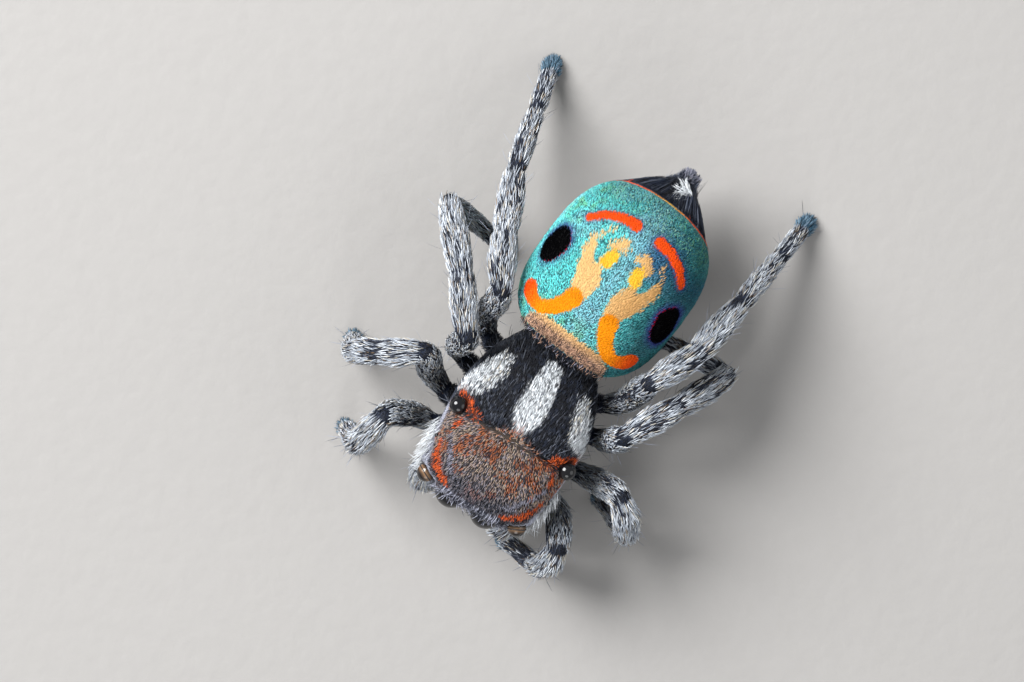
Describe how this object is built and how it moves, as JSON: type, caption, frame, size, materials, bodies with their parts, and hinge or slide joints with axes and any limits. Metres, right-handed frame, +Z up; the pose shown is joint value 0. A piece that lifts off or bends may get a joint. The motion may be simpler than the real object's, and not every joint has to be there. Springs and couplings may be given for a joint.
{
  "type": "peacock spider",
  "caption": "Life-size peacock spider, a still museum model standing on eight feet, with a patterned abdomen, forward-facing eyes and folded hairy legs.",
  "frame": {"origin": "on the floor, under the middle of the spider's box", "axes": "+Z up; the spider faces -Y and its left side is towards +X"},
  "size_m": [0.0046, 0.0058, 0.0022],
  "materials": {
    "carapace": "dark shell under short speckled grey, tan and orange hair with white stripes",
    "abdomen": "fine teal scales with orange and red marks, two black spots and tan hair",
    "legs": "black under flat white-grey hairs lying along the leg",
    "jaws": "dark brown horn, half gloss",
    "eyes": "black polished lens",
    "spinnerets": "dark slate with short hair"
  },
  "bodies": {
    "root": {"cephalothorax": "carapace", "abdomen": "abdomen", "spinnerets": "spinnerets", "chelicera_left": "jaws", "palp_left": "legs", "eye_anterior_median_left": "eyes", "eye_anterior_lateral_left": "eyes", "eye_posterior_lateral_left": "eyes", "leg_left_1_femur": "legs", "leg_left_1_knee": "legs", "leg_left_1_foot": "legs", "leg_left_2_femur": "legs", "leg_left_2_knee": "legs", "leg_left_2_foot": "legs", "leg_left_3_femur": "legs", "leg_left_3_knee": "legs", "leg_left_3_foot": "legs", "leg_left_4_femur": "legs", "leg_left_4_knee": "legs", "leg_left_4_foot": "legs", "chelicera_right": "jaws", "palp_right": "legs", "eye_anterior_median_right": "eyes", "eye_anterior_lateral_right": "eyes", "eye_posterior_lateral_right": "eyes", "leg_right_1_femur": "legs", "leg_right_1_knee": "legs", "leg_right_1_foot": "legs", "leg_right_2_femur": "legs", "leg_right_2_knee": "legs", "leg_right_2_foot": "legs", "leg_right_3_femur": "legs", "leg_right_3_knee": "legs", "leg_right_3_foot": "legs", "leg_right_4_femur": "legs", "leg_right_4_knee": "legs", "leg_right_4_foot": "legs"}
  },
  "joints": []
}
